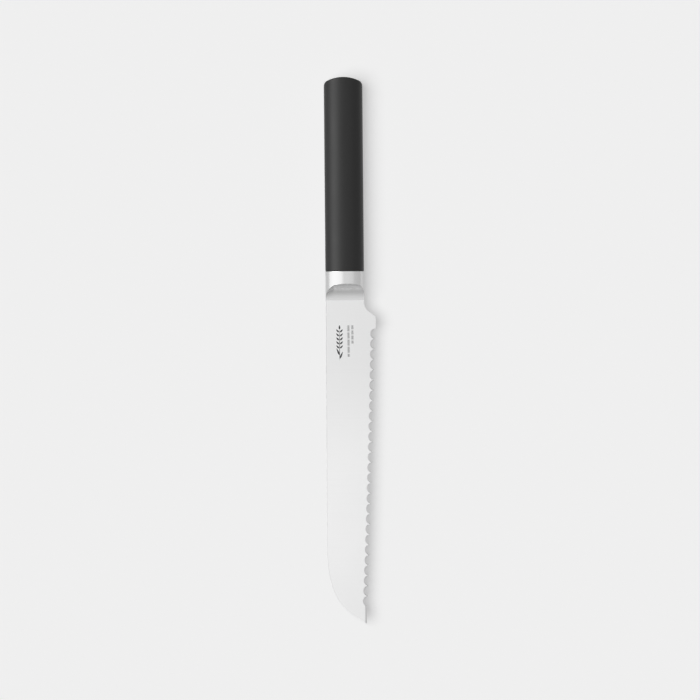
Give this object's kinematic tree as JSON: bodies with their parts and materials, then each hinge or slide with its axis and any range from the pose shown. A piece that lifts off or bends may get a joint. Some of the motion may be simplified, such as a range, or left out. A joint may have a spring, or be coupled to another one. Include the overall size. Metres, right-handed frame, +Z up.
{
  "type": "bread knife",
  "caption": "Bread knife with a scalloped steel blade, an oval scooped bolster and a straight black moulded handle with a bowed butt.",
  "frame": {"origin": "under the middle of the knife's box, on the surface that the handle lies on", "axes": "+Y from tip to butt, +X from spine to cutting edge, +Z up out of the blade's ground front face"},
  "size_m": [0.0316, 0.335, 0.017],
  "materials": {
    "blade_steel": "fine satin, ground along the blade's width",
    "bolster_steel": "polished satin",
    "tang_steel": "rolled, unpolished",
    "grip_plastic": "fine satin black",
    "core_plastic": "as moulded",
    "bond_resin": "cured adhesive",
    "seal_resin": "cured sealant"
  },
  "bodies": {
    "root": {"blade": "blade_steel", "bolster": "bolster_steel", "joint_seal": "seal_resin", "tang": "tang_steel", "tang_bond": "bond_resin", "handle_core": "core_plastic", "grip": "grip_plastic"}
  },
  "joints": []
}
